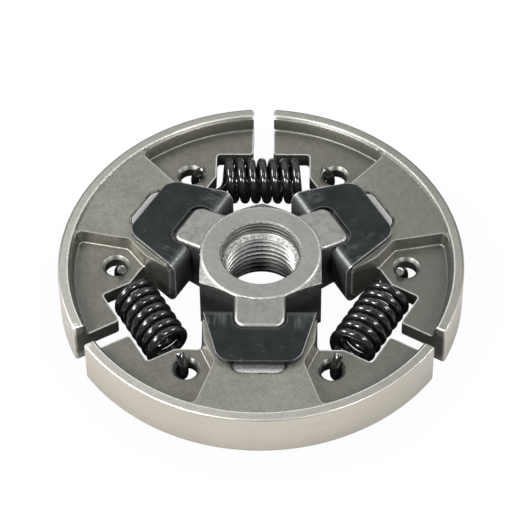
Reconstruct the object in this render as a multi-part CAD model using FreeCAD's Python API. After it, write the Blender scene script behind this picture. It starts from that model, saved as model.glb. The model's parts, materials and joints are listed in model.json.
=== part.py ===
import FreeCAD
import Part
import math
import os

# Three-shoe centrifugal clutch. Z runs along the shaft, the hub's seat is at Z = 0 and the hexagon faces up.

# Layout
SHOE_COUNT = 3
FIRST_ARM_ANGLE = 270.0
FACE_RADIUS = 32.5
DRUM_CLEARANCE = 0.75
MID_HEIGHT = 6.7
SHOE_GAP = 3.3

# Hub
HUB_HEIGHT = 12.0
HEX_SIDES = 6
HEX_ACROSS_FLATS = 19.0
HEX_TOP_DIAMETER = 18.5
HEX_CHAMFER_ANGLE = 30.0
BOSS_DIAMETER = 17.6
BOSS_CHAMFER = 0.5
THREAD_DIAMETER = 12.0
COUNTERBORE_DIAMETER = 12.4
COUNTERBORE_DEPTH = 2.6
GROOVE_PITCH = 0.75
GROOVE_WIDTH = 0.4
GROOVE_DEPTH = 0.15
MOUTH_CHAMFER = 0.3

# Arms
ARM_WIDTH = 8.0
ARM_REACH = 22.25
ARM_CORNER = 1.6
ARM_SIDE_CLEARANCE = 0.18
ARM_FACE_CLEARANCE = 0.1
ARM_END_CLEARANCE = 0.1
ROOT_OVERLAP = 0.35
ROOT_REACH = 14.15
ROOT_TOP_DROP = 0.08
ROOT_RISE = 1.1
ROOT_CORNER = 1.7
ROOT_EDGE_ROUND = 0.7

# Shoes
RIM_HEIGHT = 7.8
RIM_WIDTH = 2.0
RIM_EDGE_ROUND = 0.4
RIM_CORNER = 0.5
LIP_LEAN = 0.4
PAD_THICKNESS = 6.9
WEB_THICKNESS = 2.6
WEB_INNER_REACH = 16.2
WEB_CORNER = 0.6
POCKET_DRAFT = 0.4
POCKET_CORNER = 1.0
POCKET_FOOT_ROUND = 0.4
PAD_HALF_ANGLE = 18.7
WAIST_REACH = 20.1
WAIST_ROUND = 1.5
BLOCK_WIDTH = 17.8
BLOCK_REACH = 11.4
BLOCK_EDGE_STEP = 0.4

# Retainers
SHEET_THICKNESS = 1.0
RETAINER_TIP_SETBACK = 1.4
RETAINER_TIP_WIDTH = 12.4
RETAINER_BASE_WIDTH = 17.5
RETAINER_CORNER = 2.6
BEND_INNER_RADIUS = 0.8
NOTCH_END_CLEARANCE = 0.45
NOTCH_SIDE_CLEARANCE = 0.2

# Springs
COIL_DIAMETER = 7.5
WIRE_DIAMETER = 1.4
COIL_PITCH = 1.77
HALF_TURNS = 3.5
SPANS_PER_TURN = 4
HOOK_LEAD_ANGLE = 40.0
HOOK_TIP_ANGLE = 150.0
HOOK_CLEARANCE = 0.12
SPRING_END_ROOM = 0.85
SPRING_SIDE_ROOM = 0.8
SPRING_HOLE_DIAMETER = 3.4
SPRING_HOLE_CHORD = 11.77
SPRING_HOLE_COUNTERSINK = 0.5

# How far cutting shapes run past the metal, and the limits for picking edges
CUT_MARGIN = 1.0
STEEP_SLOPE = 0.7
TOLERANCE = 0.01

# Lengths that follow from the sizes above
REST_RADIUS = FACE_RADIUS - DRUM_CLEARANCE
FACE_OFFSET = -DRUM_CLEARANCE
HALF_GAP_ANGLE = 180.0 / SHOE_COUNT
COIL_RADIUS = (COIL_DIAMETER - WIRE_DIAMETER) / 2
WIRE_RADIUS = WIRE_DIAMETER / 2
HELIX_HALF_LENGTH = COIL_PITCH * (HALF_TURNS - HOOK_LEAD_ANGLE / 360.0)
SLOT_WIDTH = ARM_WIDTH + 2 * ARM_SIDE_CLEARANCE
NOTCH_WIDTH = ARM_WIDTH + 2 * NOTCH_SIDE_CLEARANCE
NOTCH_REACH = ROOT_REACH + NOTCH_END_CLEARANCE
NOTCH_CORNER = ROOT_CORNER + NOTCH_SIDE_CLEARANCE
RETAINER_REACH = ARM_REACH - RETAINER_TIP_SETBACK
ARM_THICKNESS = PAD_THICKNESS - 2 * ARM_FACE_CLEARANCE
ROOT_START = HEX_TOP_DIAMETER / 2 - ROOT_OVERLAP
ROOT_HALF = HUB_HEIGHT - ROOT_TOP_DROP - MID_HEIGHT
ROOT_END_HALF = ARM_THICKNESS / 2 + ROOT_RISE
RIM_TOP = MID_HEIGHT + RIM_HEIGHT / 2
PAD_TOP = MID_HEIGHT + PAD_THICKNESS / 2
WEB_TOP = MID_HEIGHT + WEB_THICKNESS / 2
RIM_INNER_RADIUS = FACE_RADIUS - RIM_WIDTH
HEX_CORNER_RADIUS = HEX_ACROSS_FLATS / 2 / math.cos(math.pi / HEX_SIDES)
SPRING_AXIS_RADIUS = (HEX_ACROSS_FLATS / 2 + REST_RADIUS - RIM_WIDTH) / 2

AXIS = FreeCAD.Vector(0, 0, 1)
ORIGIN = FreeCAD.Vector(0, 0, 0)
MIDDLE = FreeCAD.Vector(0, 0, MID_HEIGHT)


def flat(x, y, z=0.0):
    return FreeCAD.Vector(x, y, z)


def outline(corners):
    """Closed wire through (point, radius) corners, each rounded by a tangent arc of its radius."""
    edges = []
    ends = []
    for index, (point, radius) in enumerate(corners):
        before = (corners[index - 1][0] - point).normalize()
        after = (corners[(index + 1) % len(corners)][0] - point).normalize()
        half = before.getAngle(after) / 2
        if radius == 0:
            ends.append((point, point))
            continue
        run = radius / math.tan(half)
        middle = point + (before + after).normalize() * (radius / math.sin(half) - radius)
        ends.append((point + before * run, point + after * run))
        edges.append(Part.Arc(ends[-1][0], middle, ends[-1][1]).toShape())
    for index, (start, _) in enumerate(ends):
        edges.append(Part.LineSegment(ends[index - 1][1], start).toShape())
    return Part.Wire(Part.__sortEdges__(edges))


def mirrored_outline(half):
    """Outline of one side's corners, going outwards, and their mirror images across the X axis."""
    other = [(flat(point.x, -point.y), radius) for point, radius in reversed(half)]
    return outline(half + other)


def prism(wire, bottom, top):
    solid = Part.Face(wire).extrude(flat(0, 0, top - bottom))
    solid.translate(flat(0, 0, bottom))
    return solid


def slab(wire, thickness):
    """Prism of the given thickness, centred on the mid plane of the arms and shoes."""
    return prism(wire, MID_HEIGHT - thickness / 2, MID_HEIGHT + thickness / 2)


def both_faces(tool):
    """The tool on the upper face, and its mirror image on the lower face."""
    return [tool, tool.mirror(MIDDLE, AXIS)]


def both_sides(tool):
    return [tool, tool.mirror(ORIGIN, flat(0, 1))]


def turned_profile(points, axis_x=0.0):
    """Solid of revolution of (radius, height) points about a vertical line at axis_x."""
    wire = Part.makePolygon([flat(axis_x - radius, 0, height) for radius, height in points + points[:1]])
    return Part.Face(wire).revolve(flat(axis_x, 0), AXIS, 360)


def upright_edges(solid, places):
    """The steepest edge nearest to each (x, y) place."""
    steep = [edge for edge in solid.Edges if len(edge.Vertexes) == 2 and abs(slope(edge)) > STEEP_SLOPE]
    return [min(steep, key=lambda edge: plan_distance(edge, x, y)) for x, y in places]


def is_level(edge):
    return edge.BoundBox.ZLength < TOLERANCE


def slope(edge):
    span = edge.Vertexes[1].Point - edge.Vertexes[0].Point
    return span.z / edge.Length


def plan_distance(edge, x, y):
    centre = edge.CenterOfMass
    return math.hypot(centre.x - x, centre.y - y)


def gap_point(along, across):
    """Point beside the gap's centre line: its distance out along the line, and across towards the shoe."""
    angle = math.radians(HALF_GAP_ANGLE)
    x = along * math.cos(angle) + across * math.sin(angle)
    y = along * math.sin(angle) - across * math.cos(angle)
    return flat(x, y)


def line_crossing(a, b, c, d):
    """Where the line through a and b meets the line through c and d, in plan."""
    first = b - a
    second = d - c
    share = (c - a).cross(second).z / first.cross(second).z
    return a + first * share


def offset_path(points, distance):
    """Points of an open path moved sideways to its left by a distance, with corners kept sharp."""
    lines = []
    for start, end in zip(points, points[1:]):
        side = AXIS.cross(end - start).normalize() * distance
        lines.append((start + side, end + side))
    inner = [line_crossing(*one, *two) for one, two in zip(lines, lines[1:])]
    return [lines[0][0]] + inner + [lines[-1][1]]


def around(solid, index, step_share=0.0):
    """Copy of a solid built along +X, turned to the arm of that index or on past it by a share of a step."""
    copy = solid.copy()
    copy.rotate(ORIGIN, AXIS, FIRST_ARM_ANGLE + (index + step_share) * 360.0 / SHOE_COUNT)
    return copy


def tongue(reach, width, corner, start=0.0):
    """Outline of a bar along +X, with the two corners at its far end rounded."""
    return mirrored_outline([(flat(reach, width / 2), corner), (flat(start, width / 2), 0)])


def arm_root():
    """Block that thickens an arm at the hub, falling away towards its rounded far end."""
    profile = [
        flat(ROOT_START, -ARM_WIDTH, MID_HEIGHT - ROOT_HALF),
        flat(ROOT_REACH, -ARM_WIDTH, MID_HEIGHT - ROOT_END_HALF),
        flat(ROOT_REACH, -ARM_WIDTH, MID_HEIGHT + ROOT_END_HALF),
        flat(ROOT_START, -ARM_WIDTH, MID_HEIGHT + ROOT_HALF),
    ]
    wedge = Part.Face(Part.makePolygon(profile + profile[:1])).extrude(flat(0, 2 * ARM_WIDTH))
    root = slab(tongue(ROOT_REACH, ARM_WIDTH, ROOT_CORNER, ROOT_START), 2 * HUB_HEIGHT).common(wedge)
    rounded = [edge for edge in root.Edges if abs(slope(edge)) < STEEP_SLOPE]
    rounded = [edge for edge in rounded if edge.BoundBox.XMax > ROOT_START + TOLERANCE]
    return root.makeFillet(ROOT_EDGE_ROUND, rounded)


def carrier():
    corner = HEX_CORNER_RADIUS
    angles = [2 * math.pi * side / HEX_SIDES for side in range(HEX_SIDES)]
    hexagon = [flat(corner * math.cos(angle), corner * math.sin(angle)) for angle in angles]
    root_bottom = MID_HEIGHT - ROOT_HALF
    hub = prism(outline([(point, 0) for point in hexagon]), root_bottom, HUB_HEIGHT)
    hub.rotate(ORIGIN, AXIS, FIRST_ARM_ANGLE)
    fall = (corner - HEX_TOP_DIAMETER / 2) * math.tan(math.radians(HEX_CHAMFER_ANGLE))
    turned = [
        (0, root_bottom),
        (corner, root_bottom),
        (corner, HUB_HEIGHT - fall),
        (HEX_TOP_DIAMETER / 2, HUB_HEIGHT),
        (0, HUB_HEIGHT),
    ]
    hub = hub.common(turned_profile(turned))
    boss = turned_profile([
        (0, 0),
        (BOSS_DIAMETER / 2 - BOSS_CHAMFER, 0),
        (BOSS_DIAMETER / 2, BOSS_CHAMFER),
        (BOSS_DIAMETER / 2, MID_HEIGHT),
        (0, MID_HEIGHT),
    ])
    arm = slab(tongue(ARM_REACH, ARM_WIDTH, ARM_CORNER), ARM_THICKNESS)
    root = arm_root()
    solid = hub.fuse([boss] + [around(piece, index) for index in range(SHOE_COUNT) for piece in (arm, root)])
    bore = THREAD_DIAMETER / 2
    mouth = COUNTERBORE_DIAMETER / 2
    step = HUB_HEIGHT - COUNTERBORE_DEPTH
    groove_count = math.floor((COUNTERBORE_DEPTH - GROOVE_WIDTH / 2) / GROOVE_PITCH)
    grooves = []
    for number in range(groove_count, 0, -1):
        height = HUB_HEIGHT - number * GROOVE_PITCH
        grooves.append((mouth, height - GROOVE_WIDTH / 2))
        grooves.append((mouth + GROOVE_DEPTH, height))
        grooves.append((mouth, height + GROOVE_WIDTH / 2))
    passage = turned_profile([
        (0, -CUT_MARGIN),
        (bore, -CUT_MARGIN),
        (bore, step - (mouth - bore)),
        (mouth, step),
        *grooves,
        (mouth, HUB_HEIGHT - MOUTH_CHAMFER),
        (mouth + MOUTH_CHAMFER + CUT_MARGIN, HUB_HEIGHT + CUT_MARGIN),
        (0, HUB_HEIGHT + CUT_MARGIN),
    ])
    return solid.cut(passage).removeSplitter()


def shoe_blank():
    """Full-height shoe in plan: rubbing face, ends, spring cut-outs and inner block, with rounded edges."""
    half_gap = SHOE_GAP / 2
    cut_depth = HELIX_HALF_LENGTH + WIRE_RADIUS + SPRING_END_ROOM
    cut_reach = SPRING_AXIS_RADIUS + COIL_DIAMETER / 2 + SPRING_SIDE_ROOM
    block_half = BLOCK_WIDTH / 2
    beyond = FACE_RADIUS + CUT_MARGIN
    cut_corner = gap_point(cut_reach, cut_depth)
    cut_line = gap_point(0, cut_depth)
    web_edge = flat(WEB_INNER_REACH, 0)
    web_corner = line_crossing(cut_corner, cut_line, web_edge, web_edge + flat(0, 1))
    half = [
        (flat(BLOCK_REACH, block_half), 0),
        (flat(WEB_INNER_REACH, block_half), WEB_CORNER),
        (web_corner, WEB_CORNER),
        (cut_corner, WEB_CORNER),
        (gap_point(cut_reach, half_gap), WEB_CORNER),
        (gap_point(beyond, half_gap), 0),
        (flat(beyond, gap_point(beyond, half_gap).y), 0),
    ]
    plan = slab(mirrored_outline(half[::-1]), RIM_HEIGHT)
    drum = turned_profile([
        (0, MID_HEIGHT - RIM_HEIGHT),
        (FACE_RADIUS, MID_HEIGHT - RIM_HEIGHT),
        (FACE_RADIUS, MID_HEIGHT + RIM_HEIGHT),
        (0, MID_HEIGHT + RIM_HEIGHT),
    ], FACE_OFFSET)
    blank = plan.common(drum)
    end = gap_point(REST_RADIUS, half_gap)
    blank = blank.makeFillet(RIM_CORNER, upright_edges(blank, [(end.x, end.y), (end.x, -end.y)]))
    rim = [edge for edge in blank.Edges if is_rim_edge(edge)]
    return blank.makeFillet(RIM_EDGE_ROUND, rim)


def is_rim_edge(edge):
    """True for the level edges of the rubbing face, above and below."""
    return isinstance(edge.Curve, Part.Circle) and abs(edge.Curve.Radius - FACE_RADIUS) < TOLERANCE


def lip_recess():
    """Cut that leaves a raised lip along the rim, with a sloping inner wall."""
    return turned_profile([
        (0, PAD_TOP),
        (RIM_INNER_RADIUS, PAD_TOP),
        (RIM_INNER_RADIUS + LIP_LEAN, RIM_TOP),
        (RIM_INNER_RADIUS + LIP_LEAN, RIM_TOP + CUT_MARGIN),
        (0, RIM_TOP + CUT_MARGIN),
    ], FACE_OFFSET)


def pocket():
    """Drafted pocket beside the raised pad, from the pad's level down to the web."""
    lean = POCKET_DRAFT / (PAD_TOP - WEB_TOP)
    top = PAD_TOP + CUT_MARGIN
    pad_slope = math.tan(math.radians(PAD_HALF_ANGLE))
    beyond = FACE_RADIUS + CUT_MARGIN
    shoulder = flat(WEB_INNER_REACH, BLOCK_WIDTH / 2 - BLOCK_EDGE_STEP)
    edge = [
        flat(beyond, beyond * pad_slope),
        flat(WAIST_REACH, WAIST_REACH * pad_slope),
        shoulder,
        flat(BLOCK_REACH - CUT_MARGIN, BLOCK_WIDTH / 2),
    ]
    wires = []
    for height in (WEB_TOP, top):
        moved = offset_path(edge, -lean * (PAD_TOP - height))
        far = [flat(moved[-1].x, beyond), flat(beyond, beyond)]
        wires.append(Part.makePolygon([flat(p.x, p.y, height) for p in moved + far + moved[:1]]))
    tool = Part.makeLoft(wires, True, True)
    cone = turned_profile([
        (0, WEB_TOP),
        (RIM_INNER_RADIUS - POCKET_DRAFT, WEB_TOP),
        (RIM_INNER_RADIUS, PAD_TOP),
        (0, PAD_TOP),
    ], FACE_OFFSET)
    tool = tool.common(cone)
    reach = RIM_INNER_RADIUS + FACE_OFFSET
    corner = (reach * math.cos(math.radians(PAD_HALF_ANGLE)), reach * math.sin(math.radians(PAD_HALF_ANGLE)))
    tool = tool.makeFillet(POCKET_CORNER, upright_edges(tool, [corner]))
    waist = [(place.x, place.y) for place in (edge[1], shoulder)]
    tool = tool.makeFillet(WAIST_ROUND, upright_edges(tool, waist))
    foot = [edge for edge in tool.Edges if is_level(edge) and edge.BoundBox.ZMax < WEB_TOP + TOLERANCE]
    return tool.makeFillet(POCKET_FOOT_ROUND, foot)


def spring_hole():
    """Countersunk hole through the web for a spring's hook."""
    radius = SPRING_HOLE_DIAMETER / 2
    wide = radius + SPRING_HOLE_COUNTERSINK
    half = WEB_THICKNESS / 2
    upper = [
        (radius, MID_HEIGHT + half - SPRING_HOLE_COUNTERSINK),
        (wide, MID_HEIGHT + half),
        (wide, MID_HEIGHT + half + CUT_MARGIN),
        (0, MID_HEIGHT + half + CUT_MARGIN),
    ]
    lower = [(x, 2 * MID_HEIGHT - z) for x, z in reversed(upper)]
    tool = turned_profile(lower + upper)
    tool.translate(gap_point(SPRING_AXIS_RADIUS, SPRING_HOLE_CHORD))
    return tool


def shoe():
    slot_end = ARM_REACH + ARM_END_CLEARANCE
    slot = slab(tongue(slot_end, SLOT_WIDTH, ARM_CORNER + ARM_SIDE_CLEARANCE), RIM_HEIGHT + CUT_MARGIN)
    wedge_points = [
        flat(BLOCK_REACH - CUT_MARGIN, -BLOCK_WIDTH, PAD_TOP + CUT_MARGIN),
        flat(BLOCK_REACH - CUT_MARGIN, -BLOCK_WIDTH, PAD_TOP - BEND_INNER_RADIUS - CUT_MARGIN),
        flat(BLOCK_REACH + BEND_INNER_RADIUS + CUT_MARGIN, -BLOCK_WIDTH, PAD_TOP + CUT_MARGIN),
    ]
    wedge = Part.Face(Part.makePolygon(wedge_points + wedge_points[:1])).extrude(flat(0, 2 * BLOCK_WIDTH))
    cuts = both_faces(lip_recess()) + both_faces(wedge) + [slot]
    for tool in both_sides(pocket()):
        cuts += both_faces(tool)
    cuts += both_sides(spring_hole())
    return shoe_blank().cut(cuts).removeSplitter()


def retainer():
    """Folded sheet round the inner block of a shoe: two plates joined by a wall each side of the arm."""
    inner = BLOCK_REACH
    outer = inner - SHEET_THICKNESS
    tip_half = RETAINER_TIP_WIDTH / 2
    base_half = RETAINER_BASE_WIDTH / 2
    outside = fold(outer, PAD_THICKNESS + 2 * SHEET_THICKNESS, BEND_INNER_RADIUS + SHEET_THICKNESS)
    inside = fold(inner, PAD_THICKNESS, BEND_INNER_RADIUS)
    plan = mirrored_outline([
        (flat(RETAINER_REACH, tip_half), RETAINER_CORNER),
        (flat(inner, base_half), 0),
        (flat(outer - CUT_MARGIN, base_half), 0),
    ])
    notch = tongue(NOTCH_REACH, NOTCH_WIDTH, NOTCH_CORNER, outer - CUT_MARGIN)
    height = PAD_THICKNESS + 2 * SHEET_THICKNESS + CUT_MARGIN
    return outside.cut(inside).common(slab(plan, height)).cut(slab(notch, height)).removeSplitter()


def fold(start, height, radius):
    """Bar of rectangular section lying across the arm, with its two inner edges rounded to a bend radius."""
    length = RETAINER_REACH + CUT_MARGIN - start
    bar = Part.makeBox(length, 2 * BLOCK_WIDTH, height, flat(start, -BLOCK_WIDTH, MID_HEIGHT - height / 2))
    inner = [edge for edge in bar.Edges if edge.BoundBox.XMax < start + TOLERANCE]
    bends = [edge for edge in inner if is_level(edge)]
    return bar.makeFillet(radius, bends)


def arc_from(start, heading, end):
    """Circular arc that leaves a point in a unit direction and passes on to another point."""
    chord = end - start
    lean = heading.getAngle(chord)
    along = chord * (1 / chord.Length)
    side = (heading - along * heading.dot(along)).normalize()
    middle = (start + end) * 0.5 + side * (chord.Length / 2 * math.tan(lean / 2))
    return Part.Arc(start, middle, end).toShape()


def smooth_arcs(start, heading, end, end_heading):
    """Two arcs that join two points smoothly in space, each with its own unit direction."""
    chord = end - start
    both = heading + end_heading
    spread = 2 * (1 - heading.dot(end_heading))
    pull = chord.dot(both)
    reach = (math.sqrt(pull ** 2 + spread * chord.dot(chord)) - pull) / spread
    joint = (start + end + (heading - end_heading) * reach) * 0.5
    first = arc_from(start, heading, joint)
    return [first, arc_from(joint, first.tangentAt(first.LastParameter), end)]


def helix_point(turn):
    """Place and heading on the coil, so many turns on from its middle, where the wire is at its highest."""
    angle = 2 * math.pi * turn + math.pi
    place = flat(COIL_RADIUS * math.cos(angle), COIL_RADIUS * math.sin(angle), COIL_PITCH * turn)
    rise = COIL_PITCH / (2 * math.pi)
    return place, flat(-COIL_RADIUS * math.sin(angle), COIL_RADIUS * math.cos(angle), rise).normalize()


def spring():
    """Coil along X with a hook at each end, which goes under the web, up through the hole and back over."""
    last_turn = HALF_TURNS - HOOK_LEAD_ANGLE / 360.0
    spans = math.ceil(last_turn * SPANS_PER_TURN)
    places = [helix_point(last_turn * span / spans) for span in range(spans + 1)]
    bore_floor = WEB_THICKNESS / 2 - SPRING_HOLE_COUNTERSINK
    grip = math.sqrt((COIL_RADIUS - WIRE_RADIUS) ** 2 - bore_floor ** 2)
    loop_centre = SPRING_HOLE_CHORD - SPRING_HOLE_DIAMETER / 2 + HOOK_CLEARANCE - grip
    places.append((flat(COIL_RADIUS, 0, loop_centre), AXIS))
    half = []
    for one, two in zip(places, places[1:]):
        half += smooth_arcs(*one, *two)
    turn = [math.radians(HOOK_TIP_ANGLE * share) for share in (0, 0.5, 1)]
    half.append(Part.Arc(*[
        flat(COIL_RADIUS * math.cos(angle), 0, loop_centre + COIL_RADIUS * math.sin(angle)) for angle in turn
    ]).toShape())
    other = [edge.copy() for edge in half]
    for edge in other:
        edge.rotate(ORIGIN, flat(1, 0), 180)
    path = Part.Wire(Part.__sortEdges__(other + half))
    first = path.OrderedEdges[0]
    heading = first.tangentAt(first.FirstParameter)
    section = Part.makeCircle(WIRE_RADIUS, first.firstVertex(True).Point, heading)
    wire = path.makePipeShell([Part.Wire(section)], True, False)
    wire.rotate(ORIGIN, flat(0, 1), 90)
    wire.rotate(ORIGIN, AXIS, 90)
    wire.translate(flat(SPRING_AXIS_RADIUS, 0, MID_HEIGHT))
    return wire


def save(name, shape):
    shape.exportStep(os.path.join("parts", name + ".step"))


def main():
    os.makedirs("parts", exist_ok=True)
    save("clutch_carrier", carrier())
    one_shoe = shoe()
    one_retainer = retainer()
    one_spring = spring()
    for index in range(SHOE_COUNT):
        number = str(index + 1)
        save("clutch_shoe_" + number, around(one_shoe, index))
        save("shoe_retainer_" + number, around(one_retainer, index))
        save("tension_spring_" + number, around(one_spring, index, 0.5))


main()
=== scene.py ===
import json
import math
from functools import reduce

import bmesh
import bpy
from mathutils import Matrix, Quaternion, Vector

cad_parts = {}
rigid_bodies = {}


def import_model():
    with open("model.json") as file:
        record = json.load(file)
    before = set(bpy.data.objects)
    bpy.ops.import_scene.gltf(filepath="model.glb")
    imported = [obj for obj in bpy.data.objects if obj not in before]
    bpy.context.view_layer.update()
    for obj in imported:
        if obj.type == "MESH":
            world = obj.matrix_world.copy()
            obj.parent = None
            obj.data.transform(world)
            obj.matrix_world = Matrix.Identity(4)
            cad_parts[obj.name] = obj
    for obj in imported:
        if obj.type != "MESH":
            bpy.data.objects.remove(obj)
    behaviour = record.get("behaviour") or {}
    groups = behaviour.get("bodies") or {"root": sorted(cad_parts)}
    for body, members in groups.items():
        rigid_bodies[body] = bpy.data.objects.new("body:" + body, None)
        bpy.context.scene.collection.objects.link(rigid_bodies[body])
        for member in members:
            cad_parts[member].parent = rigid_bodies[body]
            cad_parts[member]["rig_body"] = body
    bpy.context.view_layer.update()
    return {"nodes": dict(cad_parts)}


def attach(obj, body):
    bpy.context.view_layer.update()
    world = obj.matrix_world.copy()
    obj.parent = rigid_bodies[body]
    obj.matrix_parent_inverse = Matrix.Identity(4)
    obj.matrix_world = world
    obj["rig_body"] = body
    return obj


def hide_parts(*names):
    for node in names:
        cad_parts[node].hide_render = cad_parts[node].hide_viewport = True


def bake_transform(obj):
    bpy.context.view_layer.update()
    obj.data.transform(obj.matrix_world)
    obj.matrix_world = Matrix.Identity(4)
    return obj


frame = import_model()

nodes = frame["nodes"]
scene = bpy.context.scene
mm = 0.001
up = Vector((0, 0, 1))
fullTurn = 2 * math.pi

# layout shared by the pieces, in mm and degrees
layout = {
    "shoes": 3,
    "firstArm": 270.0,  # the arm that points at the camera
    "midHeight": 6.7,  # middle of the shoes, arms and springs
    "springRadius": 19.625,  # from the shaft to a spring's axis
}


def spokes(share=0.0):  # directions outward and sideways at each arm, or a share of the way to the next
    found = []
    for index in range(layout["shoes"]):
        turn = math.radians(layout["firstArm"] + (index + share) * 360.0 / layout["shoes"])
        outward = Vector((math.cos(turn), math.sin(turn), 0))
        sideways = Vector((-math.sin(turn), math.cos(turn), 0))
        found.append((outward, sideways))
    return found


def finishPiece(bm, name, materials):
    mesh = bpy.data.meshes.new(name)
    bm.to_mesh(mesh)
    bm.free()
    for material in materials:
        mesh.materials.append(material)
    piece = bpy.data.objects.new(name, mesh)
    scene.collection.objects.link(piece)
    return piece


def smoothShade(bm, splitTurn):  # sharp where faces meet at more than splitTurn degrees
    for face in bm.faces:
        face.smooth = True
    for edge in bm.edges:
        edge.smooth = edge.calc_face_angle(0) < math.radians(splitTurn)


def lastEdges(made):  # the outline that a spin ends on
    return [item for item in made["geom_last"] if isinstance(item, bmesh.types.BMEdge)]


# shader helpers


class Value:  # a socket that takes part in sums
    def __init__(self, finish, socket):
        self.finish = finish
        self.socket = socket

    def maths(self, operation, first, second=0.0):
        made = self.finish.node("Math", {"operation": operation}, {0: first, 1: second})
        return self.finish.out(made)

    def __add__(self, other):
        return self.maths("ADD", self, other)

    def __radd__(self, other):
        return self.maths("ADD", other, self)

    def __sub__(self, other):
        return self.maths("SUBTRACT", self, other)

    def __rsub__(self, other):
        return self.maths("SUBTRACT", other, self)

    def __mul__(self, other):
        return self.maths("MULTIPLY", self, other)

    def __rmul__(self, other):
        return self.maths("MULTIPLY", other, self)

    def __pow__(self, other):
        return self.maths("POWER", self, other)

    def __rpow__(self, other):
        return self.maths("POWER", other, self)

    def __abs__(self):
        return self.maths("ABSOLUTE", self)

    def most(self, other):
        return self.maths("MAXIMUM", self, other)

    def ramp(self, low, high, first=0.0, last=1.0):  # from first at low to last at high
        sockets = {"Value": self, "From Min": low, "From Max": high, "To Min": first, "To Max": last}
        made = self.finish.node("MapRange", {"interpolation_type": "SMOOTHSTEP"}, sockets)
        return self.finish.out(made)

    def under(self, low, high):  # 1 below low, 0 above high
        return 1 - self.ramp(low, high)

    def band(self, start, full, fade, end):  # 1 between full and fade
        return self.ramp(start, full) * self.under(fade, end)

    def near(self, at, core, reach):  # 1 within core of a value, 0 past reach
        return abs(self - at).under(core, reach)

    def swing(self, amount):  # a noise made to vary about zero
        return (self - 0.5) * amount


def largest(values):
    return reduce(Value.most, values)


def weigh(shares, *values):  # a sum of values by their shares
    return reduce(Value.__add__, [value * share for value, share in zip(values, shares)])


class Finish:
    def __init__(self, tree):
        self.tree = tree
        tree.nodes.clear()

    def node(self, kind, settings=None, sockets=None):
        made = self.tree.nodes.new("ShaderNode" + kind)
        for key, value in (settings or {}).items():
            setattr(made, key, value)
        for key, value in (sockets or {}).items():
            if isinstance(value, Value):
                self.tree.links.new(value.socket, made.inputs[key])
            else:
                made.inputs[key].default_value = value
        return made

    def out(self, made, key=0):
        return Value(self, made.outputs[key])

    def place(self):  # object coordinates in mm
        here = self.out(self.node("TexCoord"), "Object")
        return self.out(self.node("VectorMath", {"operation": "SCALE"}, {0: here, "Scale": 1 / mm}))

    def flat(self, place):  # a place without its height
        return self.stretch(place, (1, 1, 0))

    def stretch(self, place, by):
        return self.out(self.node("VectorMath", {"operation": "MULTIPLY"}, {0: place, 1: by}))

    def distance(self, place, centre=(0, 0, 0)):
        made = self.node("VectorMath", {"operation": "DISTANCE"}, {0: place, 1: centre})
        return self.out(made, "Value")

    def along(self, place, axis):
        made = self.node("VectorMath", {"operation": "DOT_PRODUCT"}, {0: place, 1: axis})
        return self.out(made, "Value")

    def axes(self, place):  # across, back and up
        made = self.node("SeparateXYZ", None, {0: place})
        return [self.out(made, axis) for axis in "XYZ"]

    def join(self, *parts):
        return self.out(self.node("CombineXYZ", None, dict(enumerate(parts))))

    def noise(self, place, scale, detail, rough, warp=0.0):
        sockets = {"Vector": place, "Scale": scale, "Detail": detail, "Roughness": rough, "Distortion": warp}
        return self.out(self.node("TexNoise", None, sockets))

    def mix(self, share, first, second):
        colours = {6: first, 7: second}  # the node's colours go in at 6 and 7 and come out at 2
        for key, value in colours.items():
            if not isinstance(value, Value):
                colours[key] = (*value, 1.0)
        return self.out(self.node("Mix", {"data_type": "RGBA"}, {0: share, **colours}), 2)

    def edges(self, reach):  # near 1 along outer edges
        settings = {"inside": True, "only_local": True, "samples": 8}
        made = self.node("AmbientOcclusion", settings, {"Distance": reach * mm})
        return 1 - self.out(made, "AO")

    def bump(self, height, depth, strength):
        sockets = {"Height": height, "Distance": depth * mm, "Strength": strength}
        return self.out(self.node("Bump", None, sockets))

    def output(self, shader, kind="OutputMaterial"):
        self.node(kind, None, {"Surface": self.out(shader)})

    def surface(self, sockets):
        self.output(self.node("BsdfPrincipled", None, sockets))


def newFinish(name):
    material = bpy.data.materials.new(name)
    material.use_nodes = True
    return material, Finish(material.node_tree)


def besideArms(fin, flat):  # distances along the nearest arm and from its middle
    alongArm = largest([fin.along(flat, outward) for outward, sideways in spokes()])
    radius = fin.distance(flat)
    return alongArm, (radius * radius - alongArm * alongArm).most(0.0) ** 0.5


# finishes: a noise is scale, detail, roughness and warp, a range is low, high and the values there,
# a band is where it starts, is full, fades and ends, and a line is its middle, core and reach

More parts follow.
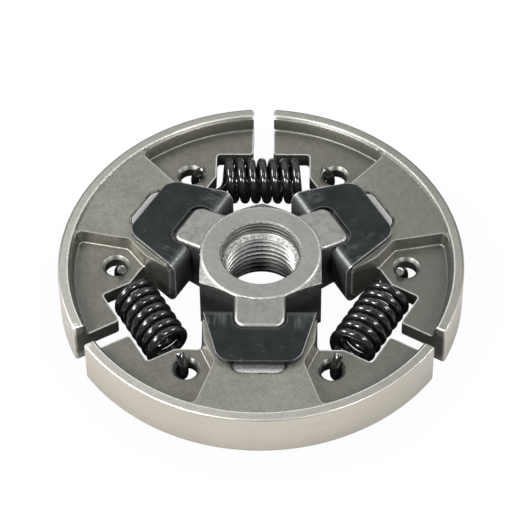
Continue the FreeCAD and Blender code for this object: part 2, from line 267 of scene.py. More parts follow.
sinterLook = {
    "padPale": (0.40, 0.395, 0.345),
    "padDeep": (0.285, 0.28, 0.24),
    "webPale": (0.284, 0.279, 0.244),
    "webDeep": (0.20, 0.195, 0.169),
    "paintedShade": (0.150, 0.150, 0.135),  # dark colour for painted shade, and for oily smudges at the hook holes
    "joint": (0.035, 0.0345, 0.031),  # painted shade of the gap round the arm's end
    "rubbed": (0.62, 0.578, 0.508),  # the face that grips the drum
    "rubbedShade": 0.86,
    "lip": (0.64, 0.63, 0.582),  # painted highlight on the top of the rim
    "worn": (0.95, 0.94, 0.90),
    "pore": (0.10, 0.098, 0.085),
    "metallic": 0.9,
    "roughness": 0.40,
    "rubbedRoughness": 0.42,
    "roughSpeckle": 0.2,
    "roughCloud": 0.1,
    "wearGloss": 0.12,
    "bump": (0.022, 0.6),  # mm and strength
    "reliefShares": (0.6, 0.4),
    "poreDepth": 0.7,
    "rubbedFlat": 0.75,
    "turningDepth": 0.35,
    # noises
    "cloud": (0.13, 2.0, 0.5),
    "mottle": (0.8, 3.0, 0.6),
    "speckle": (2.4, 3.0, 0.7),
    "pores": (3.4, 1.0, 0.5),
    "poreGate": (0.66, 0.74),
    "turning": (1.0, 3.0, 0.7),
    "turningStretch": (0.08, 0.08, 9.0),
    "toneShares": (0.3, 0.25, 0.45),
    "toneRange": (0.36, 0.64),
    "faceShares": (0.55, 0.25, 0.2),
    "faceRange": (0.35, 0.65),
    # places on a shoe in mm: radii about its own centre, heights from its middle
    "runOut": 0.75,  # from that centre to the shaft
    "padRise": (1.6, 3.2),
    "padEdge": (3.1, 0.25, 0.5),
    "rubFace": (32.28, 32.42),
    "rimOutline": (32.0, 32.2, 32.28, 32.4),
    "rimCrest": (30.98, 0.05, 0.16),
    "crestHeight": (3.6, 3.85),
    "rimTop": (30.78, 30.95),
    "rimSlope": (30.66, 0.08, 0.2),
    "rimWall": (30.3, 0.2, 0.5),
    "wallTop": (2.9, 3.2),
    "rimFoot": (27.0, 29.8, 30.2, 30.5),
    "slotHalf": 4.18,
    "slotEnd": 22.35,
    "slotCorner": 1.6,
    "jointWidth": (0.12, 0.42),
    "jointStart": (18.0, 19.5),
    "hookSpread": 11.77,  # from a spring's middle to the holes for its hooks
    "hookReach": (2.1, 2.7),
    # how painted shade, painted highlight, oily smudges and wear spread over the clutch
    "sideShadeAcross": (2.0, 30.0),
    "sideShadePatches": (0.3, 0.6, 0.6, 1.0),
    "sideShadeShare": 0.55,
    "faceSideShadeShare": 0.12,
    "lipGrain": (0.3, 0.6, 0.75, 1.0),
    "lipAcross": (-18.0, 26.0, 0.85, 0.45),
    "lipBack": (0.0, 24.0, 1.0, 0.5),
    "outlineBack": (-14.0, 6.0),
    "outlineShare": 0.8,
    "footPatches": (0.25, 0.65, 0.5, 0.35),
    "wallShare": 0.5,
    "slopeShare": 0.75,
    "jointPatches": (0.34, 0.58, 0.45, 1.0),
    "jointShare": 0.9,
    "hookPatches": (0.3, 0.6, 0.5, 0.85),
    "edgeReach": 0.32,
    "edgeRange": (0.06, 0.3),
    "wearPatches": (0.25, 0.55, 0.6, 1.0),
    "padEdgeBack": (-18.0, 4.0, 0.8, 0.5),
    "hookSpared": 0.75,
    "crestGrain": (0.34, 0.5, 0.55, 1.0),
    "wearShare": 0.9,
    "poreShare": 0.35,
}


def sinteredIron(look):
    material, fin = newFinish("sinteredIron")
    place = fin.place()
    flat = fin.flat(place)
    across, back, height = fin.axes(place)
    offMiddle = abs(height - layout["midHeight"])
    raised = offMiddle.ramp(*look["padRise"])  # 0 on the web, 1 on the pads
    centres = [outward * -look["runOut"] for outward, sideways in spokes()]
    ownRadius = largest([fin.distance(flat, centre) for centre in centres])
    rubbed = ownRadius.ramp(*look["rubFace"])
    cloud, mottle, speckle = (fin.noise(place, *look[key]) for key in ("cloud", "mottle", "speckle"))
    pores = fin.noise(place, *look["pores"]).ramp(*look["poreGate"])
    turning = fin.noise(fin.stretch(place, look["turningStretch"]), *look["turning"])

    tone = weigh(look["toneShares"], cloud, mottle, speckle).ramp(*look["toneRange"])
    webColour = fin.mix(tone, look["webDeep"], look["webPale"])
    padColour = fin.mix(tone, look["padDeep"], look["padPale"])
    colour = fin.mix(raised, webColour, padColour)
    paintedShade = across.ramp(*look["sideShadeAcross"]) * cloud.ramp(*look["sideShadePatches"])  # painted shade, more on the right-hand side, in patches
    colour = fin.mix(paintedShade * look["sideShadeShare"], colour, look["paintedShade"])
    # painted highlight: the rim top lighter in grain, more towards the front and the left
    lip = ownRadius.ramp(*look["rimTop"]) * raised * speckle.ramp(*look["lipGrain"])
    lip = lip * across.ramp(*look["lipAcross"]) * back.ramp(*look["lipBack"])
    colour = fin.mix(lip, colour, look["lip"])
    faceTone = weigh(look["faceShares"], turning, cloud, speckle).ramp(*look["faceRange"])
    faceDeep = tuple(part * look["rubbedShade"] for part in look["rubbed"])
    faceColour = fin.mix(faceTone, faceDeep, look["rubbed"])
    # the same painted shade, fainter, on the face that grips the drum
    faceColour = fin.mix(paintedShade * look["faceSideShadeShare"], faceColour, look["paintedShade"])
    colour = fin.mix(rubbed, colour, faceColour)

    # painted shade: a dark line along the rim's outer edge towards the back, a dark band on the web along
    # the foot of the rim, and the rim's inner wall and its slope down to the pads darkened
    outline = ownRadius.band(*look["rimOutline"]) * raised * back.ramp(*look["outlineBack"])
    foot = ownRadius.band(*look["rimFoot"]) * (1 - raised)
    wall = ownRadius.near(*look["rimWall"]) * offMiddle.under(*look["wallTop"])
    slope = ownRadius.near(*look["rimSlope"]) * raised
    rimShade = (
        outline * look["outlineShare"],
        foot * mottle.ramp(*look["footPatches"]),
        wall * look["wallShare"],
        slope * look["slopeShare"],
    )
    for darkShade in rimShade:
        colour = fin.mix(darkShade, colour, look["paintedShade"])
    alongArm, aside = besideArms(fin, flat)
    pastSide = (aside - (look["slotHalf"] - look["slotCorner"])).most(0.0)
    pastEnd = (alongArm - (look["slotEnd"] - look["slotCorner"])).most(0.0)
    fromSlot = (pastSide * pastSide + pastEnd * pastEnd) ** 0.5 - look["slotCorner"]
    # painted shade: a dark band along the slot's edge round the arm's end, broken in patches
    joint = fromSlot.under(*look["jointWidth"]) * alongArm.ramp(*look["jointStart"])
    joint = joint * mottle.ramp(*look["jointPatches"])
    colour = fin.mix(joint * look["jointShare"], colour, look["joint"])
    # darker round the hook holes: oily smudges, and painted shade over the countersinks
    holes = []
    for outward, sideways in spokes(0.5):
        for side in (-1, 1):
            centre = outward * layout["springRadius"] + sideways * side * look["hookSpread"]
            holes.append(fin.distance(flat, centre).under(*look["hookReach"]))
    hookOilAndShade = largest(holes)
    colour = fin.mix(hookOilAndShade * mottle.ramp(*look["hookPatches"]), colour, look["paintedShade"])

    # bright worn edges, partly a painted highlight, held back along the pad edges and more so towards the
    # front
    wear = fin.edges(look["edgeReach"]).ramp(*look["edgeRange"]) * mottle.ramp(*look["wearPatches"])
    padEdge = offMiddle.near(*look["padEdge"]) * back.ramp(*look["padEdgeBack"])
    for spared in (padEdge, hookOilAndShade * look["hookSpared"], joint):
        wear = wear * (1 - spared)
    # a bright line along the rim's crest, in grain: painted highlight
    crest = ownRadius.near(*look["rimCrest"]) * offMiddle.ramp(*look["crestHeight"])
    wear = wear.most(crest * speckle.ramp(*look["crestGrain"])) * (1 - outline)
    colour = fin.mix(wear * look["wearShare"], colour, look["worn"])
    colour = fin.mix(pores * look["poreShare"] * (1 - rubbed), colour, look["pore"])
    rough = look["roughness"] + speckle.swing(look["roughSpeckle"]) + cloud.swing(look["roughCloud"])
    rough = rough - wear * look["wearGloss"] + rubbed * (look["rubbedRoughness"] - look["roughness"])
    relief = weigh(look["reliefShares"], speckle, mottle) - pores * look["poreDepth"]
    relief = relief * (1 - rubbed * look["rubbedFlat"]) + turning * rubbed * look["turningDepth"]
    fin.surface({
        "Base Color": colour,
        "Metallic": look["metallic"],
        "Roughness": rough,
        "Normal": fin.bump(relief, *look["bump"]),
    })
    return material


hubLook = {
    "pale": (0.47, 0.466, 0.447),
    "deep": (0.28, 0.277, 0.266),
    "turned": (0.54, 0.535, 0.516),  # top face
    "pressed": (0.15, 0.148, 0.142),  # grain of the coarse faces
    "midShade": (0.165, 0.162, 0.153),  # painted shade at mid-height, between the shoes
    "darkShade": (0.030, 0.029, 0.027),
    "root": (0.34, 0.336, 0.324),  # where the arms leave the hub
    "polishAndPaintedLight": (0.80, 0.795, 0.775),  # ends of the arms, polished, and lighter on the front arm as painted light
    "worn": (0.92, 0.915, 0.90),
    "metallic": 0.95,
    "roughness": 0.38,
    "roughSpeckle": 0.3,
    "roughCoarse": 0.2,
    "wearGloss": 0.1,
    "bump": (0.022, 0.6),
    "reliefSpeckle": 0.6,
    "reliefCoarse": 0.6,
    "reliefRoot": 0.4,
    "reliefMottle": 0.3,
    "reliefRings": 0.3,
    # noises
    "cloud": (0.22, 2.0, 0.5),
    "mottle": (0.9, 3.0, 0.6),
    "speckle": (2.8, 3.0, 0.7),
    "rings": (1.0, 2.0, 0.6),
    "ringsPerMm": 7.0,
    "toneShares": (0.25, 0.25, 0.5),
    "toneRange": (0.34, 0.66),
    # radii and heights in mm
    "topHeight": (10.8, 11.1),
    "hexTop": 9.25,  # radius of the flat top
    "hexEdge": (9.2, 9.35),
    "coneFall": 0.4,  # drop per mm of radius
    "coneEnd": (11.0, 11.1),
    "coneTop": (11.9, 12.03),
    "ringHighlightWidth": (0.06, 0.2),
    "mouthRadius": (6.46, 6.56),
    "mouthHeight": (11.55, 11.7),
    "leadInRadius": (6.04, 6.08),
    "leadInHeight": (8.72, 8.84, 9.38, 9.46),
    "boreRadius": (6.1, 6.4),
    "boreFoot": (2.6, 5.4),
    "groove": (5.52, 5.85),  # of the thread
    "grooveTop": (9.0, 9.3),
    "grooveFade": (4.5, 8.0, 0.95, 0.3),
    "rootRadius": (9.5, 9.8, 15.5, 16.0),
    "rootHeight": (8.4, 9.0),
    "armPolish": (16.5, 18.5),
    "armTip": (21.45, 21.95),
    "midShadeHeight": (0.6, 3.3),  # from the middle
    # how the finishes and wear spread
    "turnedShare": 0.45,
    "pressedGrain": (0.36, 0.64, 0.95, 0.3),
    "rootPatches": (0.3, 0.62),
    "rootShare": 0.7,
    "paintedLightBack": (-18.0, 4.0, 1.0, 0.4),
    "polishGrain": (0.38, 0.62, 0.5, 0.95),
    "midShadePatches": (0.2, 0.6, 0.75, 0.95),
    "edgeReach": 0.35,
    "edgeRange": (0.1, 0.4),
    "wearPatches": (0.25, 0.6, 0.5, 1.0),
    "boreSpared": (0.38, 0.62, 0.95, 0.45),
    "rootSpared": (10.4, 12.8, 0.5, 0.9),
    "tipGrain": (0.3, 0.6, 0.4, 1.0),
    "ringHighlightGrain": (0.3, 0.6, 0.35, 1.0),
    "wearShare": 0.8,
    "footShare": 0.9,
}


def blastedSteel(look):
    material, fin = newFinish("blastedSteel")
    place = fin.place()
    back, height = fin.axes(place)[1:]
    radius = fin.distance(fin.flat(place))
    top = height.ramp(*look["topHeight"])
    turned = top * radius.under(*look["hexEdge"])
    slant = height + (radius - look["hexTop"]) * look["coneFall"]
    cone = top * radius.band(*look["hexEdge"], *look["coneEnd"]) * slant.under(*look["coneTop"])
    leadIn = radius.under(*look["leadInRadius"]) * height.band(*look["leadInHeight"])
    mouth = radius.under(*look["mouthRadius"]) * height.ramp(*look["mouthHeight"])
    coarse = cone.most(leadIn).most(mouth)  # left as pressed or cut, and rougher
    ringHighlight = top * radius.near(look["hexTop"], *look["ringHighlightWidth"])  # painted highlight round the edge of the flat top
    inBore = radius.under(*look["boreRadius"])
    grooves = inBore * radius.ramp(*look["groove"]) * height.under(*look["grooveTop"])
    grooves = grooves * height.ramp(*look["grooveFade"])
    foot = inBore * height.under(*look["boreFoot"])
    root = radius.band(*look["rootRadius"]) * (1 - cone) * height.ramp(*look["rootHeight"])
    # polish on the arm ends, stronger on the front arm: painted light in the shade of its plate
    polishAndPaintedLight = radius.ramp(*look["armPolish"]) * back.ramp(*look["paintedLightBack"])
    midShaded = abs(height - layout["midHeight"]).under(*look["midShadeHeight"]) * (1 - inBore)
    cloud, mottle, speckle = (fin.noise(place, *look[key]) for key in ("cloud", "mottle", "speckle"))
    lathe = fin.join(radius * look["ringsPerMm"], height * look["ringsPerMm"])
    rings = fin.noise(lathe, *look["rings"])

    tone = weigh(look["toneShares"], cloud, mottle, speckle).ramp(*look["toneRange"])
    colour = fin.mix(tone, look["deep"], look["pale"])
    turnedColour = fin.mix(rings, look["pale"], look["turned"])
    colour = fin.mix(turned * look["turnedShare"], colour, turnedColour)
    colour = fin.mix(coarse * speckle.ramp(*look["pressedGrain"]), colour, look["pressed"])
    rootColour = fin.mix(mottle.ramp(*look["rootPatches"]), look["root"], look["pale"])
    colour = fin.mix(root * look["rootShare"], colour, rootColour)
    colour = fin.mix(polishAndPaintedLight * speckle.ramp(*look["polishGrain"]), colour, look["polishAndPaintedLight"])
    # painted shade on the hub's sides at mid-height, between the shoes, in patches
    colour = fin.mix(midShaded * mottle.ramp(*look["midShadePatches"]), colour, look["midShade"])

    wear = fin.edges(look["edgeReach"]).ramp(*look["edgeRange"]) * mottle.ramp(*look["wearPatches"])
    wear = wear * (1 - leadIn.most(mouth) * speckle.ramp(*look["boreSpared"]))
    wear = wear * (1 - root * radius.ramp(*look["rootSpared"]))
    tip = radius.ramp(*look["armTip"]) * polishAndPaintedLight * speckle.ramp(*look["tipGrain"])  # bright rim at the arm's end: rubbed by the shoe, and a painted highlight
    wear = wear.most(ringHighlight * speckle.ramp(*look["ringHighlightGrain"])).most(tip)
    colour = fin.mix(wear * look["wearShare"], colour, look["worn"])
    # painted shade in the thread's grooves, darker lower down, and at the foot of the bore
    colour = fin.mix(grooves.most(foot * look["footShare"]), colour, look["darkShade"])
    rough = look["roughness"] + speckle.swing(look["roughSpeckle"]) - wear * look["wearGloss"]
    rough = rough + coarse * look["roughCoarse"]
    relief = look["reliefSpeckle"] + coarse * look["reliefCoarse"] - root * look["reliefRoot"]
    relief = speckle * relief + mottle * look["reliefMottle"] + rings * turned * look["reliefRings"]
    fin.surface({
        "Base Color": colour,
        "Metallic": look["metallic"],
        "Roughness": rough,
        "Normal": fin.bump(relief, *look["bump"]),
    })
    return material


sheetLook = {
    "deep": (0.0125, 0.0165, 0.0172),
    "pale": (0.026, 0.0315, 0.0325),
    "scratch": (0.22, 0.23, 0.235),
    "streakSheen": (0.13, 0.14, 0.14),  # painted reflection in streaks
    "rubbed": (0.16, 0.165, 0.165),  # painted sheen along the folds
    "worn": (0.62, 0.62, 0.61),
    "metallic": 0.6,
    "roughness": 0.24,
    "roughPatches": 0.18,
    "roughFine": 0.08,
    "roughScratch": 0.15,
    "roughBend": 0.14,
    "bump": (0.010, 0.4),
    "reliefShares": (0.3, 0.5),
    "scratchDepth": 0.4,
    # noises
    "cloud": (0.22, 2.0, 0.5),
    "patches": (0.5, 3.0, 0.55, 0.8),
    "fine": (3.0, 2.0, 0.6),
    "toneShares": (0.5, 0.4, 0.1),
    "toneRange": (0.35, 0.68),
    "scratchSets": ((20, 0.72), (75, 0.74), (140, 0.73)),  # turn in degrees, and the noise they start at
    "scratchTilt": (0.3, 0.2),
    "scratchStretch": (0.22, 5.0, 1.0),
    "scratches": (1.0, 1.0, 0.5),
    "scratchEdge": 0.05,
    "scratchPatches": (0.42, 0.62),
    "scratchShare": 0.4,
    # distances along an arm and from its middle, in mm
    "bendEnd": (11.0, 12.3),
    "bendShare": 0.6,
    "notch": (5.2, 6.0),
    "notchSpared": 0.75,
    "streakStretch": (1.5, 0.12, 0.06),
    "streaks": (1.0, 2.0, 0.6),
    "streakGate": (0.44, 0.68),
    "streakAside": (4.6, 5.4),
    "streakEnd": (12.6, 16.0),
    "streakPatches": (0.35, 0.6, 0.3, 1.0),
    "streakShare": 0.6,
    "edgeReach": 0.26,
    "edgeRange": (0.12, 0.4),
    "wearShares": (0.6, 0.4),
    "wearPatches": (0.3, 0.55, 0.45, 1.0),
    "wearShare": 0.75,
}


def blackenedSheet(look):
    material, fin = newFinish("blackenedSheet")
    place = fin.place()
    across = fin.axes(place)[0]
    alongArm, aside = besideArms(fin, fin.flat(place))
    cloud, patches, fine = (fin.noise(place, *look[key]) for key in ("cloud", "patches", "fine"))
    sets = []
    for turn, gate in look["scratchSets"]:
        rotation = (*look["scratchTilt"], math.radians(turn))
        turned = fin.out(fin.node("Mapping", None, {0: place, "Rotation": rotation}))
        lines = fin.noise(fin.stretch(turned, look["scratchStretch"]), *look["scratches"])
        sets.append(lines.ramp(gate, gate + look["scratchEdge"]))
    scratches = largest(sets)
    bend = alongArm.under(*look["bendEnd"])  # paler and rougher along the folds: the paler colour is a painted sheen
    # painted reflection: pale streaks along the arm, beside the notch and near the fold
    wide, long, skew = look["streakStretch"]
    drawn = fin.join(aside * wide, alongArm * long, across * skew)
    streaks = fin.noise(drawn, *look["streaks"]).ramp(*look["streakGate"]) * aside.ramp(*look["streakAside"])
    streaks = streaks * alongArm.under(*look["streakEnd"]) * patches.ramp(*look["streakPatches"])

    tone = weigh(look["toneShares"], cloud, patches, fine).ramp(*look["toneRange"])
    colour = fin.mix(tone, look["deep"], look["pale"])
    # painted sheen along the folds
    colour = fin.mix(bend * look["bendShare"], colour, look["rubbed"])
    colour = fin.mix(streaks * look["streakShare"], colour, look["streakSheen"])
    scratched = scratches * patches.ramp(*look["scratchPatches"]) * look["scratchShare"]
    colour = fin.mix(scratched, colour, look["scratch"])
    wear = weigh(look["wearShares"], patches, fine).ramp(*look["wearPatches"])
    wear = fin.edges(look["edgeReach"]).ramp(*look["edgeRange"]) * wear
    wear = wear * (1 - aside.under(*look["notch"]) * look["notchSpared"])
    colour = fin.mix(wear * look["wearShare"], colour, look["worn"])
    rough = look["roughness"] + patches.swing(look["roughPatches"]) + fine.swing(look["roughFine"])
    rough = rough + scratches * look["roughScratch"] + bend * look["roughBend"]
    relief = weigh(look["reliefShares"], fine, patches) - scratches * look["scratchDepth"]
    fin.surface({
        "Base Color": colour,
        "Metallic": look["metallic"],
        "Roughness": rough,
        "Normal": fin.bump(relief, *look["bump"]),
    })
    return material


wireLook = {
    "deep": (0.004, 0.004, 0.0045),
    "pale": (0.012, 0.012, 0.013),
    "roughness": 0.16,
    "roughCloud": 0.12,
    "roughSpecks": 0.06,
    "specular": 1.0,
    "bump": (0.012, 0.15),
    "reliefShares": (0.3, 0.7),
    "cloud": (0.5, 3.0, 0.6),
    "specks": (6.0, 2.0, 0.6),
    "toneShares": (0.6, 0.4),
    "toneRange": (0.35, 0.7),
}


def springBlack(look):
    material, fin = newFinish("springBlack")
    place = fin.place()
    cloud, specks = (fin.noise(place, *look[key]) for key in ("cloud", "specks"))
    tone = weigh(look["toneShares"], cloud, specks).ramp(*look["toneRange"])
    fin.surface({
        "Base Color": fin.mix(tone, look["deep"], look["pale"]),
        "Roughness": look["roughness"] + cloud.swing(look["roughCloud"]) + specks.swing(look["roughSpecks"]),
        "Specular IOR Level": look["specular"],
        "Normal": fin.bump(weigh(look["reliefShares"], specks, cloud), *look["bump"]),
    })
    return material


cutLook = {
    "pale": (0.80, 0.79, 0.77),
    "deep": (0.10, 0.098, 0.095),
    "metallic": 1.0,
    "roughness": 0.36,
    "roughShear": 0.2,
    "bump": (0.02, 0.5),
    "shear": (4.5, 3.0, 0.7),
    "shearStretch": (1.0, 1.0, 2.0),
    "shearRange": (0.35, 0.65),
}


def cutWire(look):
    material, fin = newFinish("cutWire")
    shear = fin.noise(fin.stretch(fin.place(), look["shearStretch"]), *look["shear"])
    fin.surface({
        "Base Color": fin.mix(shear.ramp(*look["shearRange"]), look["deep"], look["pale"]),
        "Metallic": look["metallic"],
        "Roughness": look["roughness"] + shear.swing(look["roughShear"]),
        "Normal": fin.bump(shear, *look["bump"]),
    })
    return material


iron = sinteredIron(sinterLook)
steel = blastedSteel(hubLook)
sheet = blackenedSheet(sheetLook)
wireBlack = springBlack(wireLook)
wireCut = cutWire(cutLook)
print("finishes: iron, steel, sheet, wire and its cut ends")

# carrier, shoes and retainers: the solids with their edges broken

edgeBreak = {
    "carrierWidth": 0.14,
    "shoeWidth": 0.2,
    "retainerWidth": 0.1,
    "segments": 2,
    "weld": 0.001,
    "flatTurn": 0.4,  # faces that meet at less are one
    "sharpTurn": 28.0,  # edges that turn more are broken
    "splitTurn": 42.0,
    "normalWeight": 80,
}


def brokenEdges(node, name, width, material):
    bm = bmesh.new()
    bm.from_mesh(nodes[node].data)
    bmesh.ops.remove_doubles(bm, verts=bm.verts, dist=edgeBreak["weld"] * mm)
    flatTurn = math.radians(edgeBreak["flatTurn"])
    bmesh.ops.dissolve_limit(bm, angle_limit=flatTurn, verts=bm.verts, edges=bm.edges)
    sharpTurn = math.radians(edgeBreak["sharpTurn"])
    sharp = [edge for edge in bm.edges if edge.is_convex and edge.calc_face_angle(0) > sharpTurn]
    bmesh.ops.bevel(
        bm, geom=sharp, offset=width * mm, offset_type="OFFSET", affect="EDGES",
        segments=edgeBreak["segments"], profile=0.5, material=-1, clamp_overlap=True, loop_slide=True,
    )
    smoothShade(bm, edgeBreak["splitTurn"])
    piece = finishPiece(bm, name, [material])
    weighted = piece.modifiers.new("evenNormals", "WEIGHTED_NORMAL")
    weighted.keep_sharp = True
    weighted.weight = edgeBreak["normalWeight"]
    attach(piece, nodes[node]["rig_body"])
    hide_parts(node)
    print(name, len(piece.data.vertices), "points")
    return piece


carrierPiece = brokenEdges("clutch_carrier", "carrier", edgeBreak["carrierWidth"], steel)
for index in range(layout["shoes"]):
    number = str(index + 1)
    shoePiece = brokenEdges("clutch_shoe_" + number, "shoe" + number, edgeBreak["shoeWidth"], iron)
    retainerNode = "shoe_retainer_" + number
    retainerPiece = brokenEdges(retainerNode, "retainer" + number, edgeBreak["retainerWidth"], sheet)
print("carrier, shoes and retainers: edges broken")

# springs, each as two halves from its middle out to a hook in a shoe

spring = {
    "coilRadius": 3.05,
    "wireRadius": 0.7,
    "pitch": 1.77,
    "turns": 3.5 - 40.0 / 360.0,  # of one half
    "loopCentre": 7.980,  # from the spring's middle to the hook's
    "tipTurn": 150.0,
    "around": 20,
    "stepsPerTurn": 48,
    "tipBreak": 0.16,
    "tipSegments": 2,
}


def springHalf(name, middle, outward, along):
    coil = spring["coilRadius"] * mm
    rise = spring["pitch"] * mm
    bm = bmesh.new()
    heading = (along * rise / fullTurn + outward * coil).normalized()
    start = middle + up * coil  # a coil stands at the top in the middle
    stand = Matrix.Translation(start) @ heading.to_track_quat("Z", "Y").to_matrix().to_4x4()
    bmesh.ops.create_circle(
        bm, cap_ends=False, radius=spring["wireRadius"] * mm, segments=spring["around"], matrix=stand,
    )
    firstRim = list(bm.edges)

    def sweep(edges, centre, axis, angle, drift=0.0):
        steps = max(2, round(abs(angle) / fullTurn * spring["stepsPerTurn"]))
        made = bmesh.ops.spin(
            bm, geom=edges, cent=centre, axis=axis, dvec=along * drift / steps, angle=angle, steps=steps,
        )
        return lastEdges(made)

    def bend(edges, place, heading, target):  # an arc that leaves along heading and ends at target
        chord = target - place
        lean = heading.angle(chord)
        axis = heading.cross(chord).normalized()
        centre = place + axis.cross(heading) * (chord.length / 2 / math.sin(lean))
        return sweep(edges, centre, axis, 2 * lean), Quaternion(axis, 2 * lean) @ heading

    angle = fullTurn * spring["turns"]
    rim = sweep(firstRim, middle, along, angle, rise * spring["turns"])
    screw = Quaternion(along, angle)
    coilEnd = middle + screw @ (start - middle) + along * rise * spring["turns"]
    heading = screw @ heading
    loopCentre = middle + along * spring["loopCentre"] * mm
    loopStart = middle - up * coil + along * spring["loopCentre"] * mm
    chord = loopStart - coilEnd  # two arcs with equal reach join the coil to the hook
    spread = 2 * (1 - heading.dot(along))
    pull = chord.dot(heading + along)
    reach = (math.sqrt(pull ** 2 + spread * chord.dot(chord)) - pull) / spread
    joint = (coilEnd + loopStart + (heading - along) * reach) / 2
    rim, heading = bend(rim, coilEnd, heading, joint)
    rim, heading = bend(rim, joint, heading, loopStart)
    rim = sweep(rim, loopCentre, outward, math.radians(spring["tipTurn"]))

    for face in bm.faces:
        face.smooth = True
    tip = bmesh.ops.edgeloop_fill(bm, edges=rim)["faces"]
    foot = bmesh.ops.edgeloop_fill(bm, edges=firstRim)["faces"]
    for face in tip:
        face.material_index = 1  # bare cut wire
    bmesh.ops.recalc_face_normals(bm, faces=bm.faces)
    tipEdge = bmesh.ops.bevel(
        bm, geom=rim, offset=spring["tipBreak"] * mm, offset_type="OFFSET", affect="EDGES",
        segments=spring["tipSegments"], profile=0.5, material=-1,
    )
    for face in tipEdge["faces"]:
        face.material_index = 1
    for face in foot:
        for edge in face.edges:
            edge.smooth = False
    return finishPiece(bm, name, [wireBlack, wireCut])


for index, (outward, sideways) in enumerate(spokes(0.5)):
    middle = outward * layout["springRadius"] * mm + up * layout["midHeight"] * mm
    for side, shoe in ((-1, index), (1, (index + 1) % layout["shoes"])):
        name = "spring" + str(index + 1) + ("Left" if side < 0 else "Right")
        along = sideways * side  # the left half is the right one turned about a vertical line
        half = springHalf(name, middle, outward * side, along)
        hook = middle + along * spring["pitch"] * spring["turns"] * mm
        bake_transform(half)
        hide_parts("tension_spring_" + str(index + 1))
print("springs:", 2 * layout["shoes"], "halves,", len(half.data.polygons), "faces each")

# left-hand thread in the hub's bore, with its lead-in cone

thread = {
    "pitch": 1.0,
    "rootRadius": 6.03,
    "crestRadius": 5.46,
    "crestFlat": 0.2,
    "flankTurn": 30.0,
    "top": 8.3,
    "turns": 7.75,
    "stepsPerTurn": 72,
    "coneTop": 9.4,
    "splitTurn": 30.0,
}


def boreThread():
    root, crest = thread["rootRadius"], thread["crestRadius"]
    flat = thread["crestFlat"] / 2
    flank = flat + (root - crest) * math.tan(math.radians(thread["flankTurn"]))
    bm = bmesh.new()

    def section(corners):  # a closed outline at radii and heights
        return bm.faces.new([bm.verts.new((radius * mm, 0, height * mm)) for radius, height in corners])

    top = thread["top"]
    tooth = section([(root, top - flank), (crest, top - flat), (crest, top + flat), (root, top + flank)])
    steps = round(thread["turns"] * thread["stepsPerTurn"])
    drop = -up * thread["pitch"] * thread["turns"] * mm / steps
    made = bmesh.ops.spin(
        bm, geom=list(tooth.edges), cent=(0, 0, 0), axis=up, dvec=drop,
        angle=fullTurn * thread["turns"], steps=steps,
    )
    bmesh.ops.edgeloop_fill(bm, edges=lastEdges(made))
    coneFoot = thread["coneTop"] - root + crest
    cone = section([(root, thread["coneTop"]), (crest, coneFoot), (root, coneFoot)])
    bmesh.ops.spin(
        bm, geom=list(cone.edges), cent=(0, 0, 0), axis=up, angle=fullTurn,
        steps=thread["stepsPerTurn"], use_merge=True,
    )
    bmesh.ops.delete(bm, geom=[cone], context="FACES_ONLY")
    bmesh.ops.recalc_face_normals(bm, faces=bm.faces)
    smoothShade(bm, thread["splitTurn"])
    return finishPiece(bm, "boreThread", [steel])


threadPiece = boreThread()
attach(threadPiece, "hub")
print("thread cut in the bore")

# camera at the photograph's viewing angle

cameraView = {
    "eye": (6.640, -265.354, 326.745),
    "aim": (0.488, -0.729, 9.978),
    "roll": -0.6278,
    "lens": 179.58,
    "sensor": 36.0,
    "clipStart": 10.0,
}
camera = bpy.data.objects.new("camera", bpy.data.cameras.new("camera"))
scene.collection.objects.link(camera)
scene.camera = camera
camera.data.lens = cameraView["lens"]
camera.data.sensor_width = cameraView["sensor"]
camera.data.clip_start = cameraView["clipStart"] * mm
camera.location = Vector(cameraView["eye"]) * mm
looking = (Vector(cameraView["aim"]) - Vector(cameraView["eye"])).to_track_quat("-Z", "Y")
camera.rotation_mode = "QUATERNION"
camera.rotation_quaternion = looking @ Quaternion((0, 0, 1), math.radians(cameraView["roll"]))

# light

softboxes = {
    "leftStrip": {"at": (-430, 60, 330), "size": (240, 90), "radiance": 26.0},
    "rightStrip": {"at": (440, 60, 320), "size": (200, 80), "radiance": 15.0},
    "overhead": {"at": (-60, -60, 600), "size": (80, 80), "radiance": 12.0},
    "frontLeft": {"at": (-250, -250, 360), "size": (85, 85), "radiance": 76.0},
    "frontRight": {"at": (260, -250, 350), "size": (70, 70), "radiance": 54.0},
}
for name, box in softboxes.items():
    lamp = bpy.data.lights.new(name, "AREA")
    lamp.shape = "RECTANGLE"
    lamp.size = box["size"][0] * mm
    lamp.size_y = box["size"][1] * mm
    lamp.energy = box["radiance"] * math.pi * lamp.size * lamp.size_y
    holder = bpy.data.objects.new(name, lamp)
    scene.collection.objects.link(holder)
    holder.location = Vector(box["at"]) * mm
    holder.rotation_mode = "QUATERNION"
    holder.rotation_quaternion = (-Vector(box["at"])).to_track_quat("-Z", "Y")

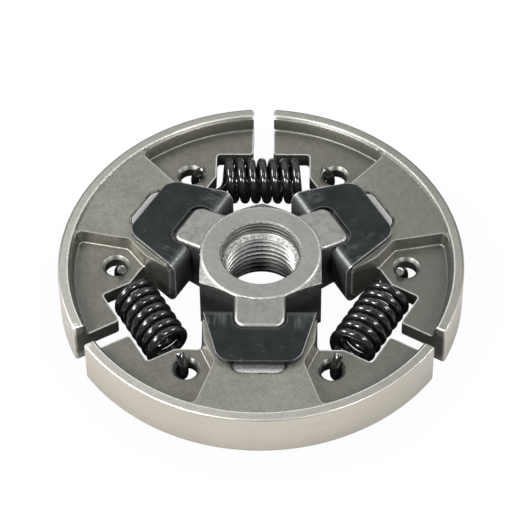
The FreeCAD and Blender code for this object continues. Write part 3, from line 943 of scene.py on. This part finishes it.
sky = {
    "horizon": 0.20,
    "band": 0.74,
    "zenith": 0.28,
    "front": 0.3,  # share of the light behind the camera
    "bandRise": (0.1, 0.5),
    "bandFall": (0.84, 0.97),
    "frontEnd": (-0.35, 0.3),
}
world = bpy.data.worlds.new("studio")
world.use_nodes = True
scene.world = world
air = Finish(world.node_tree)
direction = air.out(air.node("TexCoord"), "Generated")
back, rising = air.axes(direction)[1:]
level = rising.ramp(*sky["bandRise"], sky["horizon"], sky["band"])
level = level - rising.ramp(*sky["bandFall"], 0.0, sky["band"] - sky["zenith"])
level = level * back.ramp(*sky["frontEnd"], sky["front"], 1.0)
grey = air.out(air.node("CombineColor", None, {0: level, 1: level, 2: level}))
air.output(air.node("Background", None, {"Color": grey, "Strength": 1.0}), "OutputWorld")

# pale floor, white to the camera and in the metal, with a painted shadow close under the part

floorLook = {
    "radius": 3000.0,
    "segments": 96,
    "drop": 0.05,
    "white": (0.93, 0.93, 0.93),
    "shade": (0.10, 0.10, 0.10),
    "glow": 0.98,
    "clear": (28.0, 44.0),
    "far": (90.0, 240.0, 1.0, 0.35),
}


def paleFloor(look):
    material, fin = newFinish("paleFloor")
    path = fin.node("LightPath")
    distance = fin.distance(fin.place())
    away = distance.ramp(*look["clear"])
    mirrored = fin.out(path, "Is Glossy Ray").most(fin.out(path, "Is Transmission Ray"))
    seen = fin.out(path, "Is Camera Ray").most(mirrored * away * distance.ramp(*look["far"]))
    matt = fin.node("BsdfDiffuse", None, {"Color": fin.mix(away, look["shade"], look["white"])})
    glow = fin.node("Emission", None, {"Color": (1.0, 1.0, 1.0, 1.0), "Strength": 1.0})
    both = {0: seen * look["glow"], 1: fin.out(matt), 2: fin.out(glow)}
    fin.output(fin.node("MixShader", None, both))
    return material


bm = bmesh.new()
ground = Matrix.Translation(-up * floorLook["drop"] * mm)
bmesh.ops.create_circle(
    bm, cap_ends=True, radius=floorLook["radius"] * mm, segments=floorLook["segments"], matrix=ground,
)
floor = finishPiece(bm, "floor", [paleFloor(floorLook)])
scene.view_settings.view_transform = "Standard"
print("camera, light and floor set")
